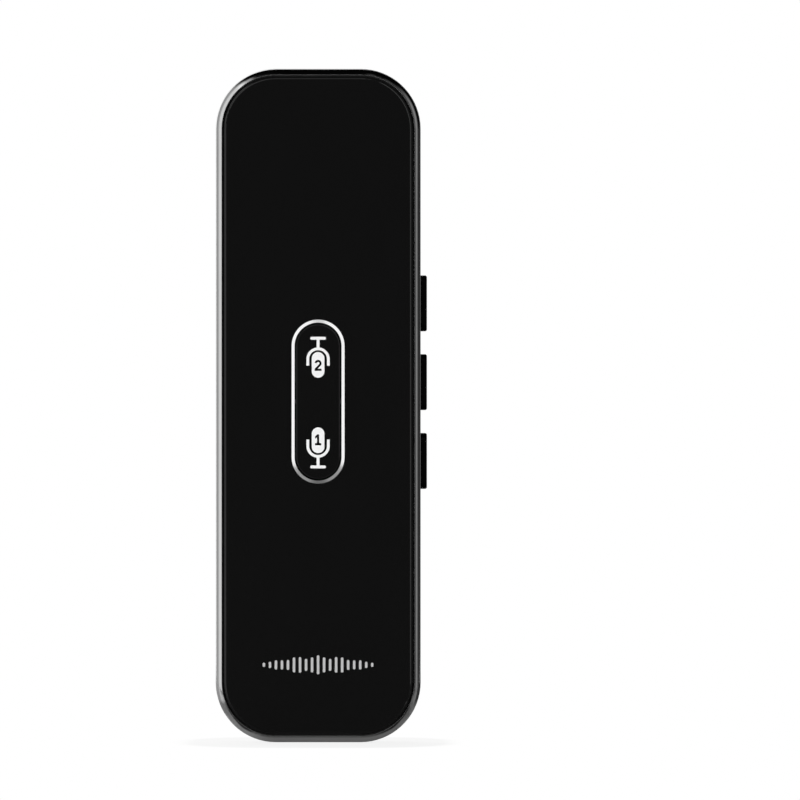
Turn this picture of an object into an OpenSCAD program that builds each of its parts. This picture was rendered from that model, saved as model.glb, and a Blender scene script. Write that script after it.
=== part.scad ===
// Handheld translator: a slim metal bar with a black glass front, one rocking talk key in a
// bright ring, three side buttons, a loudspeaker behind a drilled back and a charging socket.
// Millimetres. It stands upright on its bottom end: +X right, -Y front, +Z up. The origin is
// the middle of the bottom end.

/* [Body] */
// Width across the side walls
body_w = 42; // [41.5:0.5:56]
// Height from the bottom end to the top end
body_h = 138; // [134:1:160]
// Thickness from the glass to the back
body_t = 11; // [11:0.1:14]
// Corner radius seen from the front
corner_r = 12.3; // [9:0.1:13]
// Wall of the rear shell
wall = 1.2; // [1.1:0.1:1.5]

/* [Front frame] */
// Thickness of the plate behind the glass
plate_t = 1.2; // [1.1:0.1:1.5]
// Radius of the rolled bright edge
edge_r = 2; // [1.4:0.1:2]
// Width of the rolled edge seen from the front
slope_w = 1.24; // [0.9:0.02:1.3]
// Height of the lip that locates the rear shell
tongue_h = 0.75; // [0.5:0.05:1]

/* [Back] */
// Width of the slope round the back
back_slope = 1.06; // [0.5:0.02:1.4]
// Width of the soft roll inside that slope
roll_w = 2; // [1:0.1:3]
// Depth of the soft roll
roll_d = 0.2; // [0.1:0.02:0.3]

/* [Glass] */
// Gap between the frame's lip and the glass
glass_gap = 0.35; // [0.2:0.05:0.5]
// Thickness of the glass
glass_t = 1.1; // [0.8:0.1:1.4]
// Thickness of the adhesive sheet behind the glass
adhesive_t = 0.2; // [0.1:0.05:0.3]

/* [Talk key] */
// Width over the bright ring
ring_w = 11.07; // [10:0.01:13]
// Height over the bright ring
ring_h = 33.8; // [32:0.1:38]
// Wall of the bright ring
ring_t = 0.84; // [0.6:0.02:1]
// Height of the ring above the glass
ring_proud = 0.12; // [0:0.02:0.3]
// Height of the key's middle above the body's middle
key_rise = 0.8; // [-3:0.1:3]
// Angle that the key rocks each way
rock_angle = 1.3; // [0.5:0.1:1.4]
// Distance from the pivot to each talk switch
foot_reach = 11; // [9:0.5:11.5]
// Diameter of the pivot pin
pin_d = 1; // [0.8:0.1:1.2]

/* [Side buttons] */
// Length of each button
button_l = 11.5; // [9:0.1:12]
// Width of each button
button_w = 2.6; // [2:0.1:3]
// Height of each button above the side wall
button_proud = 1.3; // [0.6:0.1:1.5]
// Distance from one button to the next
button_pitch = 16.2; // [15.8:0.1:18]
// Height of the middle button above the body's middle
button_rise = 4.8; // [2:0.1:6]
// Travel of each button
button_travel = 0.3; // [0.15:0.05:0.4]

/* [Loudspeaker] */
// Distance from the top end down to the loudspeaker's middle
speaker_drop = 31.6; // [30:0.1:33]
// Diameter of the loudspeaker
speaker_d = 23; // [22.4:0.1:24]
// Diameter of each sound hole
sound_hole_d = 1.3; // [0.8:0.1:1.6]

/* [Battery] */
// Width of the cell
battery_w = 28; // [20:0.5:28]
// Height of the cell
battery_h = 50; // [36:1:51]
// Distance from the body's middle down to the cell's middle
battery_drop = 13; // [12:0.5:14]

/* [Circuit board] */
// Thickness of the board
board_t = 1; // [0.8:0.1:1.2]
// Space between the plate and the board
board_space = 2; // [2:0.1:2.6]

/* [Fasteners] */
// Diameter of the housing screws' shanks
screw_d = 1.6; // [1.4:0.1:1.8]
// Length of the housing screws under the head
screw_l = 4; // [3:0.5:5]
// Outer diameter of the screw bosses
boss_d = 3.6; // [3.2:0.1:3.8]

/* [Hidden] */
$fn = 96;

slit = 0.05; // running and locating clearance
bevel = 0.12; // fine bevel at edges that meet
mouth_bevel = 0.25; // bevel round the openings in the walls
cut = 1; // how far a cut runs past what it cuts
sweep_w = 5; // how far in the swept edges of the casings reach
lap = 1; // how far a casing's flat middle reaches under its swept edge
flat_inset = sweep_w - lap;
lip_flat = 0.06; // flat on top of the frame's lip
glass_round = 0.5; // radius round the front of the glass
adhesive_inset = 0.4; // how far the adhesive stays inside the glass
ring_slope = 0.1; // how far the ring's face falls towards its outer edge
ring_bevel = 0.12; // bevel at both edges of the ring's face
fillet = 0.6; // sloped corner between the shell's walls and floor

// Depths from front to back
front_y = -body_t / 2;
back_y = body_t / 2;
glass_back_y = front_y + glass_t;
plate_front_y = glass_back_y + adhesive_t;
parting_y = plate_front_y + plate_t;
board_front_y = parting_y + board_space;
board_back_y = board_front_y + board_t;
floor_y = back_y - wall;
middle_z = body_h / 2;

// Glass pocket
lip_w = slope_w + lip_flat;
glass_inset = lip_w + glass_gap;

// Talk key
key_z = middle_z + key_rise;
key_gap = 0.145;
key_w = ring_w - 2 * ring_t - 2 * key_gap;
key_h = ring_h - 2 * ring_t - 2 * key_gap;
key_front_y = front_y + 0.08;
key_back_y = parting_y - 0.3;
key_wall = 0.9;
key_web_y = key_front_y + key_wall;
flange_w = 0.76;
pivot_y = parting_y + 0.5;
hub_r = pin_d / 2 + slit + 0.5;
hub_l = key_w - 0.2;
lug_x = key_w / 2 + 0.55;
lug_l = 1.2;
lug_d = pin_d + 1.6;
pin_l = 2 * (lug_x + lug_l);
foot_travel = foot_reach * sin(rock_angle);
talk_switch_t = 0.8;
plunger_t = 0.3;
plunger_y = board_front_y - talk_switch_t - plunger_t;
foot_y = plunger_y - foot_travel - slit;

// Side buttons and their switches
button_y = board_back_y + 1;
flange_t = 0.8;
flange_l = button_l + 2;
flange_h = button_w + 1.6;
inner_x = body_w / 2 - wall;
flange_x = inner_x - slit - flange_t;
side_switch_l = 4.5;
side_switch_d = 3.2;
side_switch_t = 2;
stem_l = 1.1;
stem_sunk = 0.6;
stem_pocket = stem_sunk + button_travel + 0.1;
side_switch_x = flange_x - 1.4;
stem_x = side_switch_x - stem_sunk;
button_names = [1, 0, -1];
function button_z(n) = middle_z + button_rise + n * button_pitch;

// Loudspeaker
speaker_z = body_h - speaker_drop;
speaker_r = speaker_d / 2;
mesh_t = 0.15;
gasket_t = 0.3;
gasket_y = floor_y - mesh_t - gasket_t;
basket_t = 2.85;
basket_y = gasket_y - basket_t;
basket_wall = 0.7;
cone_y = gasket_y - 0.45;
magnet_r = 7.5;
magnet_t = 2.2;
hole_columns = [[1.5, 6, 3.69], [4.33, 5, 3.07], [7.35, 3, 3.05]];

// Battery
battery_z = middle_z - battery_drop;
battery_x = side_switch_x - side_switch_d - 1.5 - battery_w / 2;
battery_top_z = battery_z + battery_h / 2;
tape_t = 0.25;
tape_side = 4;
tape_end = 5;
pad_t = 0.45;
pad_side = 6;
pad_end = 8;
battery_t = floor_y - tape_t - board_back_y - pad_t;
battery_front_y = board_back_y + pad_t;
protection_w = 16;
protection_h = 2.6;
protection_t = 1.2;
protection_y = floor_y - tape_t - slit - protection_t / 2;
connector_w = 5;
connector_h = 3.5;
connector_t = 1.5;
connector_x = battery_x - 2.3;
connector_y = board_back_y + connector_t / 2;
connector_z = battery_top_z + 0.3;
lead_step = 1;

// Charging socket
usb_w = 8.94;
usb_t = 3.26;
usb_l = 7.35;
usb_wall = 0.3;
usb_back = 0.8;
usb_sunk = 0.35;
usb_gap = 0.13;
usb_y = board_back_y + usb_t / 2;
tongue_w = 6.7;
tongue_t = 0.7;
tongue_l = 5.2;
tongue_root_w = 7.4;
tongue_root_t = 1.9;
tongue_root_l = 1.2;

// Shield can over the processor
shield_w = 18;
shield_h = 14;
shield_t = 1.7;
shield_r = 0.8;
shield_sheet = 0.25;
shield_z = usb_sunk + usb_l + 1.3 + shield_h / 2;
chip_t = 1.2;

// Circuit board
board_side_gap = slit + flange_t + button_travel + 0.45;
board_end_gap = 2;
board_w = body_w - 2 * wall - 2 * board_side_gap;
board_h = body_h - 2 * wall - 2 * board_end_gap;
board_r = corner_r - wall - board_side_gap;
board_screw_d = 1.4;
board_screw_l = 2.5;
standoff_d = 3.2;
standoff_x = board_w / 2 - 3.7;
standoffs = [
    [-standoff_x, shield_z + 2.5],
    [standoff_x, shield_z + 2.5],
    [-standoff_x + 3, speaker_z - speaker_r - 3.9],
    [standoff_x - 1, speaker_z + speaker_r]
];

// Screw bosses, one on the diagonal of each corner and two on each side wall
corner_x = body_w / 2 - corner_r;
boss_step = (corner_r - wall - 0.8 - boss_d / 2) / sqrt(2);
boss_x = inner_x - 0.7 - boss_d / 2;
boss_edge = flange_l / 2 + boss_d / 2 + 0.45;
boss_places = [
    [corner_x + boss_step, corner_r - boss_step],
    [corner_x + boss_step, body_h - corner_r + boss_step],
    [boss_x, button_z(-1) - boss_edge],
    [boss_x, button_z(1) + boss_edge]
];
head_d = screw_d + 1.2;
head_t = 0.6;
counterbore_t = 0.7;

// Microphones
capsule_d = 3.6;
capsule_t = 1.3;
boot_d = 4.4;
boot_t = 1.7;
boot_seat = 0.3;
mic_hole_d = 1;
mic_rise = 1.85;
mic_y = board_back_y + mic_rise;
mic_bottom_x = -(usb_w / 2 + boot_d / 2 + 0.2);
mic_lead_reach = 2.4;
mic_lead_x = 0.7;

// Wires
wire_d = 0.6;
thin_wire_d = 0.5;
// A slack curve as fractions of the way from the first end to the second, across and along
drop_shape = [[0, 0], [0.3, 0.01], [0.6, 0.06], [0.84, 0.2], [0.96, 0.45], [1, 0.75], [1, 1]];

// A rectangle with round corners, about the origin. Its ends are half round where w is twice r.
module rounded_rect(w, h, r) {
    half_round = w - 2 * r < 0.01;
    square([w, h - 2 * r], center = true);
    if (!half_round) {
        square([w - 2 * r, h], center = true);
    }
    for (x = half_round ? [0] : [-1, 1], y = [-1, 1]) {
        translate([x * (w / 2 - r), y * (h / 2 - r)]) circle(r);
    }
}

// A long hole or bar with round ends, upright
module pill(w, h) {
    rounded_rect(w, h, w / 2);
}

// An outline seen from the front, made solid from depth y0 back to depth y1
module slab(y0, y1) {
    translate([0, y1, 0]) rotate([90, 0, 0]) linear_extrude(y1 - y0) children();
}

// A section swept round a rounded rectangle. The section's x is the distance outside the
// outline and its y is the depth.
module rim(w, h, r) {
    for (a = [0:90:270]) {
        across = a % 180 == 0 ? w : h;
        along = a % 180 == 0 ? h : w;
        rotate([0, a, 0]) {
            if (along - 2 * r > 0.01) {
                translate([across / 2, 0, r - along / 2]) linear_extrude(along - 2 * r) children();
            }
            translate([across / 2 - r, 0, r - along / 2])
                rotate([-90, 0, 0])
                rotate_extrude(angle = 90)
                translate([r, 0])
                children();
        }
    }
}

// The rounded edge of a section: a quarter disc of radius r whose corner would be at x, y
module soft_corner(x, y, r) {
    intersection() {
        translate([x - r, y + r]) circle(r);
        translate([x - r, y]) square(r);
    }
}

// A plate with a round edge at its front
module soft_plate(w, h, r, y0, y1, e) {
    slab(y0, y1) rounded_rect(w - 2 * e, h - 2 * e, r - e);
    rim(w, h, r) {
        translate([-2 * e, y0 + e]) square([2 * e, y1 - y0 - e]);
        soft_corner(0, y0, e);
        translate([-1.5 * e, y0]) square([e / 2, e]);
    }
}

// An opening with round ends through a wall whose outside is at depth y
module mouth(w, h, y) {
    slab(y - cut, y + wall + cut) pill(w, h);
    rim(w, h, w / 2) polygon([
        [-bevel, y - bevel], [mouth_bevel + bevel, y - bevel], [-bevel, y + mouth_bevel + bevel]
    ]);
}

// Turns what faces the front so that it faces the right-hand side
module facing_right() {
    rotate([0, 0, 90]) children();
}

// Turns what faces the front and stands upright so that it faces down and lies across
module facing_down() {
    rotate([90, 0, 0]) rotate([0, 90, 0]) children();
}

// A turned shape about the front-to-back axis; the section's x is the radius, its y the depth
module turned() {
    rotate([-90, 0, 0]) rotate_extrude() children();
}

// A rod from depth y0 back to depth y1
module rod(d, y0, y1) {
    translate([0, y1, 0]) rotate([90, 0, 0]) cylinder(d = d, h = y1 - y0);
}

module at_bosses() {
    for (side = [-1, 1], p = boss_places) {
        translate([side * p[0], 0, p[1]]) children();
    }
}

module at_standoffs() {
    for (p = standoffs) {
        translate([p[0], 0, p[1]]) children();
    }
}

module in_middle() {
    translate([0, 0, middle_z]) children();
}

// The flat middle of a casing, inside its swept edge
module casing_middle() {
    rounded_rect(body_w - 2 * flat_inset, body_h - 2 * flat_inset, corner_r - flat_inset);
}

// Frame: a milled ring with a rolled rim round the glass, a plate behind it and a tongue.
// The roll's depth in whole hundredths keeps the arc's end exactly on the side.
module frame_section() {
    inner_x = edge_r - slope_w;
    edge_depth = round(100 * sqrt(edge_r * edge_r - inner_x * inner_x)) / 100;
    arc_y = front_y + edge_depth;
    polygon([
        [-bevel, parting_y], [0, parting_y - bevel], [0, arc_y], [-lip_w, arc_y],
        [-lip_w, plate_front_y], [-sweep_w, plate_front_y], [-sweep_w, parting_y],
        [-wall, parting_y], [-wall, parting_y + tongue_h],
        [-wall / 2 - slit, parting_y + tongue_h], [-wall / 2 - slit, parting_y]
    ]);
    intersection() {
        translate([-edge_r, arc_y]) circle(edge_r);
        translate([-lip_w, front_y]) square([lip_w + cut, edge_depth]);
    }
}

module front_frame() {
    color([0.74, 0.74, 0.75]) difference() {
        union() {
            in_middle() {
                rim(body_w, body_h, corner_r) frame_section();
                slab(plate_front_y, parting_y) casing_middle();
            }
            translate([0, 0, key_z]) {
                for (side = [-1, 1]) {
                    translate([side * (lug_x + lug_l / 2), (parting_y + pivot_y) / 2 - 0.1, 0])
                        cube([lug_l, pivot_y - parting_y + 0.2, lug_d], center = true);
                    translate([side * (lug_x + lug_l / 2), pivot_y, 0])
                        rotate([0, 90, 0])
                        cylinder(d = lug_d, h = lug_l, center = true);
                }
            }
        }
        translate([0, 0, key_z]) {
            slab(plate_front_y - cut, parting_y + cut) pill(key_w + 2 * key_gap, key_h + 2 * key_gap);
            translate([0, pivot_y, 0]) rotate([0, 90, 0]) cylinder(d = pin_d, h = pin_l + 2, center = true);
        }
        at_bosses() {
            rod(screw_d + 0.2, plate_front_y - cut, parting_y + cut);
            rod(head_d + 0.3, plate_front_y - cut, plate_front_y + counterbore_t);
        }
    }
}

// Rear shell: one milled tub with a drilled grille, bosses, ribs and side slots
module shell_section() {
    roll_r = (roll_w * roll_w + roll_d * roll_d) / (2 * roll_d);
    rabbet_x = wall / 2;
    rabbet_y = parting_y + tongue_h + slit;
    polygon([
        [0, back_y - roll_d - back_slope], [0, parting_y + bevel], [-bevel, parting_y],
        [-rabbet_x, parting_y], [-rabbet_x, rabbet_y], [-wall, rabbet_y], [-wall, floor_y - fillet],
        [-wall - fillet, floor_y], [-sweep_w, floor_y], [-sweep_w, back_y],
        [-back_slope - roll_w, back_y], [-back_slope, back_y - roll_d]
    ]);
    intersection() {
        translate([-back_slope - roll_w, back_y - roll_r]) circle(roll_r);
        translate([-back_slope - roll_w, back_y - roll_d]) square([roll_w, roll_d + 1]);
    }
}

module sound_holes() {
    for (side = [-1, 1], c = hole_columns) {
        for (k = [0:c[1] - 1]) {
            translate([side * c[0], 0, speaker_z + (k - (c[1] - 1) / 2) * c[2]])
                rod(sound_hole_d, floor_y - cut, back_y + cut);
        }
    }
}

module battery_ribs() {
    rib_t = 0.8;
    rib_h = 2;
    rib_end = 2;
    for (side = [-1, 1]) {
        rib_x = battery_x + side * (battery_w / 2 + 0.2 + rib_t / 2);
        translate([rib_x, floor_y - rib_h / 2 + 0.05, battery_z])
            cube([rib_t, rib_h + 0.1, battery_h - 2 * rib_end], center = true);
    }
    translate([battery_x, floor_y - rib_h / 2 + 0.05, battery_z - battery_h / 2 - 0.2 - rib_t / 2])
        cube([battery_w - 3 * rib_end, rib_h + 0.1, rib_t], center = true);
}

module button_guides() {
    guide_t = 1;
    guide_y0 = board_back_y - 0.5;
    for (n = button_names, side = [-1, 1]) {
        translate([
            flange_x - 0.35,
            guide_y0,
            button_z(n) + side * (flange_l / 2 + 0.15 + guide_t / 2) - guide_t / 2
        ]) cube([inner_x + 0.1 - flange_x + 0.35, floor_y + 0.1 - guide_y0, guide_t]);
    }
}

module rear_shell() {
    color([0.55, 0.55, 0.56]) difference() {
        union() {
            in_middle() {
                rim(body_w, body_h, corner_r) shell_section();
                slab(floor_y, back_y) casing_middle();
            }
            at_bosses() rod(boss_d, parting_y, floor_y + 0.1);
            at_standoffs() rod(standoff_d, board_back_y, floor_y + 0.1);
            battery_ribs();
            button_guides();
            translate([0, 0, speaker_z]) difference() {
                rod(speaker_d + 2, basket_y + 0.8, floor_y + 0.1);
                rod(speaker_d + 2 * slit, basket_y, floor_y);
            }
        }
        sound_holes();
        at_bosses() rod(screw_d, parting_y - cut, parting_y + screw_l + 0.5);
        at_standoffs() rod(board_screw_d, board_back_y - cut, board_back_y + board_screw_l);
        facing_right() {
            for (n = button_names) {
                translate([button_y, 0, button_z(n)])
                    mouth(button_w + 2 * key_gap, button_l + 2 * key_gap, -body_w / 2);
            }
        }
        translate([0, usb_y, 0]) facing_down() mouth(usb_t + 2 * usb_gap, usb_w + 2 * usb_gap, 0);
        translate([mic_bottom_x, mic_y, -cut]) cylinder(d = mic_hole_d, h = wall + 2 * cut);
        translate([mic_bottom_x, mic_y, wall - boot_seat]) cylinder(d = boot_d + 2 * slit, h = cut);
        translate([0, mic_y, body_h - wall - cut]) cylinder(d = mic_hole_d, h = wall + 2 * cut);
        translate([0, mic_y, body_h - wall - cut + boot_seat]) cylinder(d = boot_d + 2 * slit, h = cut);
    }
}

// Black glass with a finely rounded edge and an opening for the bright ring
module front_glass() {
    glass_w = body_w - 2 * glass_inset;
    glass_h = body_h - 2 * glass_inset;
    color([0.07, 0.07, 0.075]) difference() {
        in_middle()
            soft_plate(glass_w, glass_h, corner_r - glass_inset, front_y, glass_back_y, glass_round);
        translate([0, 0, key_z])
            slab(front_y - cut, glass_back_y + cut)
            pill(ring_w + 2 * slit, ring_h + 2 * slit);
    }
}

module glass_adhesive() {
    inset = glass_inset + adhesive_inset;
    color([0.1, 0.1, 0.1]) difference() {
        in_middle() slab(glass_back_y, plate_front_y)
            rounded_rect(body_w - 2 * inset, body_h - 2 * inset, corner_r - inset);
        translate([0, 0, key_z]) slab(glass_back_y - cut, plate_front_y + cut)
            pill(ring_w + 2 * flange_w + 2 * slit, ring_h + 2 * flange_w + 2 * slit);
    }
}

// Bright ring round the talk key, held by a flange between the glass and the plate
// Its face slopes down towards the glass, so that it shines against the black round it.
module key_bezel() {
    ring_y = front_y - ring_proud;
    outer_y = ring_y + ring_slope;
    color([0.93, 0.93, 0.94]) translate([0, 0, key_z]) rim(ring_w, ring_h, ring_w / 2) polygon([
        [-ring_bevel, outer_y], [0, outer_y + ring_bevel], [0, glass_back_y], [flange_w, glass_back_y],
        [flange_w, plate_front_y], [-ring_t, plate_front_y],
        [-ring_t, ring_y + ring_bevel], [-ring_t + ring_bevel, ring_y]
    ]);
}

// Talk key: a hollow cap that rocks on a pin across its middle and has a foot over each switch
module rocker_key() {
    color([0.06, 0.06, 0.065]) translate([0, 0, key_z]) difference() {
        union() {
            difference() {
                soft_plate(key_w, key_h, key_w / 2, key_front_y, key_back_y, 0.25);
                slab(key_web_y, key_back_y + cut) pill(key_w - 2 * key_wall, key_h - 2 * key_wall);
            }
            translate([0, pivot_y, 0]) rotate([0, 90, 0]) cylinder(r = hub_r, h = hub_l, center = true);
            translate([-hub_l / 2, key_web_y - 0.1, -hub_r])
                cube([hub_l, pivot_y - key_web_y + 0.1, 2 * hub_r]);
            for (side = [-1, 1]) {
                translate([0, 0, side * foot_reach]) rod(2.2, key_web_y - 0.1, foot_y);
            }
        }
        translate([0, pivot_y, 0])
            rotate([0, 90, 0])
            cylinder(d = pin_d + 2 * slit, h = key_w + 2 * cut, center = true);
    }
}

module rocker_pivot_pin() {
    color([0.72, 0.72, 0.74]) translate([0, pivot_y, key_z]) rotate([0, 90, 0])
        cylinder(d = pin_d, h = pin_l, center = true);
}

// Low dome switch on the front of the board
module talk_switch(side) {
    color([0.6, 0.6, 0.6]) translate([0, 0, key_z + side * foot_reach]) {
        slab(board_front_y - talk_switch_t, board_front_y) rounded_rect(4.4, 4.4, 0.5);
        rod(2, plunger_y, board_front_y - talk_switch_t + 0.1);
    }
}

// Side button: a rounded bar with a flange behind the wall and a rib that meets its switch
module side_button(n) {
    cap_x = body_w / 2 + button_proud;
    color([0.06, 0.06, 0.06]) {
        facing_right() translate([button_y, 0, button_z(n)]) {
            soft_plate(button_w, button_l, button_w / 2, -cap_x, -flange_x - flange_t, 0.4);
            slab(-flange_x - flange_t, -flange_x) pill(flange_h, flange_l);
            slab(-flange_x - 0.1, -stem_x - stem_l) rounded_rect(1.4, 2, 0.3);
        }
    }
}

// Side-pressed switch on the back of the board, with a pocket for its stem
module side_switch(n) {
    color([0.65, 0.65, 0.66]) difference() {
        translate([side_switch_x - side_switch_d, board_back_y, button_z(n) - side_switch_l / 2])
            cube([side_switch_d, side_switch_t, side_switch_l]);
        translate([side_switch_x - stem_pocket, button_y - 0.45 - slit, button_z(n) - 0.8 - slit])
            cube([stem_pocket + cut, 0.9 + 2 * slit, 1.6 + 2 * slit]);
    }
}

module switch_stem(n) {
    color([0.9, 0.9, 0.88]) translate([stem_x, button_y - 0.45, button_z(n) - 0.8])
        cube([stem_l, 0.9, 1.6]);
}

module main_board() {
    color([0.05, 0.22, 0.14]) difference() {
        in_middle() slab(board_front_y, board_back_y) rounded_rect(board_w, board_h, board_r);
        at_bosses() rod(boss_d + 0.8, board_front_y - cut, board_back_y + cut);
        at_standoffs() rod(board_screw_d + 0.2, board_front_y - cut, board_back_y + cut);
        translate([0, 0, speaker_z]) rod(speaker_d + 1, board_front_y - cut, board_back_y + cut);
    }
}

// Pressed metal can over the processor
module processor_shield() {
    inner_w = shield_w - 2 * shield_sheet;
    inner_h = shield_h - 2 * shield_sheet;
    color([0.75, 0.75, 0.77]) translate([0, 0, shield_z]) difference() {
        slab(board_back_y, board_back_y + shield_t) rounded_rect(shield_w, shield_h, shield_r);
        slab(board_back_y - cut, board_back_y + shield_t - shield_sheet)
            rounded_rect(inner_w, inner_h, shield_r - shield_sheet);
    }
}

// Chips and small parts: each row is x, z, width, height and thickness
front_chips = [
    [-9, 42, 6, 6, 0.9], [8, 38, 8, 8, 1], [-2, 30, 4, 5, 0.8], [12, 52, 4, 4, 0.8], [-12, 62, 5, 7, 1]
];
processor_w = 11;
// Rows of small capacitors: x of the first, z, and how many
capacitor_rows = [[-13, 50, 6], [3, 46, 6]];
capacitor_pitch = 1.8;
module board_components() {
    color([0.12, 0.12, 0.12]) {
        for (c = front_chips) {
            translate([c[0], 0, c[1]])
                slab(board_front_y - c[4], board_front_y)
                square([c[2], c[3]], center = true);
        }
        translate([0, 0, shield_z])
            slab(board_back_y, board_back_y + chip_t)
            square(processor_w, center = true);
        for (row = capacitor_rows, i = [0:row[2] - 1]) {
            translate([row[0] + capacitor_pitch * i, 0, row[1]])
                slab(board_front_y - 0.5, board_front_y)
                square([1, 0.6], center = true);
        }
    }
}

module antenna() {
    antenna_w = 6;
    antenna_h = 2;
    antenna_t = 1.2;
    antenna_x = 7;
    antenna_inset = 3;
    color([0.85, 0.83, 0.78]) translate([antenna_x, 0, body_h - wall - board_end_gap - antenna_inset])
        slab(board_front_y - antenna_t, board_front_y) square([antenna_w, antenna_h], center = true);
}

// Charging socket: a drawn metal shell with a closed end, and a contact tongue inside
module usb_socket_shell() {
    color([0.75, 0.75, 0.76]) translate([0, usb_y, usb_sunk]) difference() {
        linear_extrude(usb_l) rotate(90) pill(usb_t, usb_w);
        translate([0, 0, -cut]) linear_extrude(usb_l + cut - usb_back) rotate(90)
            pill(usb_t - 2 * usb_wall, usb_w - 2 * usb_wall);
    }
}

module usb_socket_tongue() {
    color([0.08, 0.08, 0.08]) translate([0, usb_y, usb_sunk + usb_l - usb_back - tongue_l]) {
        linear_extrude(tongue_l) square([tongue_w, tongue_t], center = true);
        translate([0, 0, tongue_l - tongue_root_l])
            linear_extrude(tongue_root_l)
            square([tongue_root_w, tongue_root_t], center = true);
    }
}

module battery_cell() {
    color([0.78, 0.78, 0.8]) translate([battery_x, 0, battery_z])
        slab(battery_front_y, battery_front_y + battery_t) rounded_rect(battery_w, battery_h, 1);
}

module battery_tape() {
    color([0.2, 0.2, 0.2]) translate([battery_x, 0, battery_z])
        slab(floor_y - tape_t, floor_y)
            rounded_rect(battery_w - 2 * tape_side, battery_h - 2 * tape_end, 1);
}

module battery_pad() {
    color([0.15, 0.15, 0.15]) translate([battery_x, 0, battery_z])
        slab(board_back_y, battery_front_y)
            rounded_rect(battery_w - 2 * pad_side, battery_h - 2 * pad_end, 1);
}

module battery_protection_board() {
    color([0.1, 0.3, 0.15]) translate([battery_x, protection_y, battery_top_z + protection_h / 2])
        cube([protection_w, protection_t, protection_h], center = true);
}

module battery_connector() {
    color([0.92, 0.9, 0.85]) translate([connector_x, connector_y, connector_z + connector_h / 2])
        cube([connector_w, connector_t, connector_h], center = true);
}

// A round wire of eight sides swept through points; up is a direction that it never follows
function unit(v) = v / norm(v);
function heading(p, i) = unit(p[min(i + 1, len(p) - 1)] - p[max(i - 1, 0)]);
module wire(p, d, up) {
    sides = 8;
    count = len(p);
    corners = [
        for (i = [0:count - 1], k = [0:sides - 1])
        let (t = heading(p, i), u = unit(cross(up, t)), v = cross(t, u))
        p[i] + d / 2 * (cos(360 * k / sides) * u + sin(360 * k / sides) * v)
    ];
    walls = [
        for (i = [0:count - 2], k = [0:sides - 1])
        let (a = i * sides + k, b = i * sides + (k + 1) % sides)
        [a, a + sides, b + sides, b]
    ];
    ends = [[for (k = [0:sides - 1]) k], [for (k = [sides - 1:-1:0]) (count - 1) * sides + k]];
    polyhedron(points = corners, faces = concat(walls, ends));
}

// A lead that loops from the top of the protection board over into the top of the connector
module battery_lead(x) {
    loop_r = (protection_y - connector_y) / 2;
    plug_z = connector_z + connector_h;
    loop = [
        for (a = [0:20:180])
        [x, connector_y + loop_r + loop_r * cos(a), plug_z + wire_d + loop_r * sin(a)]
    ];
    start = [x, protection_y, battery_top_z + protection_h];
    wire(concat([start], loop, [[x, connector_y, plug_z]]), wire_d, [1, 0, 0]);
}

module battery_lead_red() {
    color([0.8, 0.05, 0.05]) battery_lead(connector_x + lead_step);
}

module battery_lead_black() {
    color([0.05, 0.05, 0.05]) battery_lead(connector_x - lead_step);
}

// Loudspeaker: a drawn basket with a magnet in front and a cone towards the sound holes
module speaker_basket() {
    color([0.3, 0.3, 0.31]) translate([0, 0, speaker_z]) difference() {
        rod(speaker_d, basket_y, gasket_y);
        rod(speaker_d - 2 * basket_wall, basket_y + 0.6, gasket_y + cut);
    }
}

module speaker_magnet() {
    color([0.5, 0.5, 0.52]) translate([0, 0, speaker_z]) rod(2 * magnet_r, basket_y - magnet_t, basket_y);
}

module speaker_cone() {
    rim_r = speaker_r - basket_wall;
    sheet = 0.2;
    color([0.1, 0.1, 0.1]) translate([0, cone_y, speaker_z]) turned() polygon([
        [0, 0.1], [2, -0.1], [3.5, -0.7], [rim_r - 2, 0], [rim_r - 1.4, 0.35], [rim_r - 0.8, 0], [rim_r, 0],
        [rim_r, -sheet], [rim_r - 0.9, -sheet], [rim_r - 1.4, 0.15], [rim_r - 2, -sheet],
        [3.5, -0.7 - sheet], [2, -0.1 - sheet], [0, 0.1 - sheet]
    ]);
}

module speaker_gasket() {
    color([0.08, 0.08, 0.08]) translate([0, 0, speaker_z]) difference() {
        rod(speaker_d - 0.4, gasket_y, gasket_y + gasket_t);
        rod(speaker_d - 2.8, gasket_y - cut, floor_y + cut);
    }
}

module speaker_mesh() {
    color([0.05, 0.05, 0.05]) translate([0, 0, speaker_z]) rod(speaker_d - 1, floor_y - mesh_t, floor_y);
}

// Two leads from the basket's left edge down to the board
module speaker_leads() {
    for (side = [-1, 1]) {
        start = [-sqrt(speaker_r * speaker_r - 1) + 0.02, basket_y + 0.4, speaker_z + side];
        end = [start[0] - 3, board_back_y, start[2]];
        color([0.75, 0.1, 0.1])
            wire([for (s = drop_shape) start + [s[0] * (end[0] - start[0]), s[1] * (end[1] - start[1]), 0]],
                thin_wire_d, [0, 0, 1]);
    }
}

// Microphone in a rubber boot, facing down
module mic_boot() {
    color([0.08, 0.08, 0.08]) difference() {
        cylinder(d = boot_d, h = boot_t);
        translate([0, 0, -cut]) cylinder(d = mic_hole_d, h = boot_t);
        translate([0, 0, boot_t - capsule_t]) cylinder(d = capsule_d, h = capsule_t + cut);
    }
}

module mic_capsule() {
    color([0.7, 0.7, 0.7]) translate([0, 0, boot_t - capsule_t]) cylinder(d = capsule_d, h = capsule_t);
}

module at_top_mic() {
    translate([0, mic_y, body_h - wall + boot_seat]) mirror([0, 0, 1]) children();
}

module at_bottom_mic() {
    translate([mic_bottom_x, mic_y, wall - boot_seat]) children();
}

module mic_boot_top() {
    at_top_mic() mic_boot();
}

module mic_boot_bottom() {
    at_bottom_mic() mic_boot();
}

module mic_capsule_top() {
    at_top_mic() mic_capsule();
}

module mic_capsule_bottom() {
    at_bottom_mic() mic_capsule();
}

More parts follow.
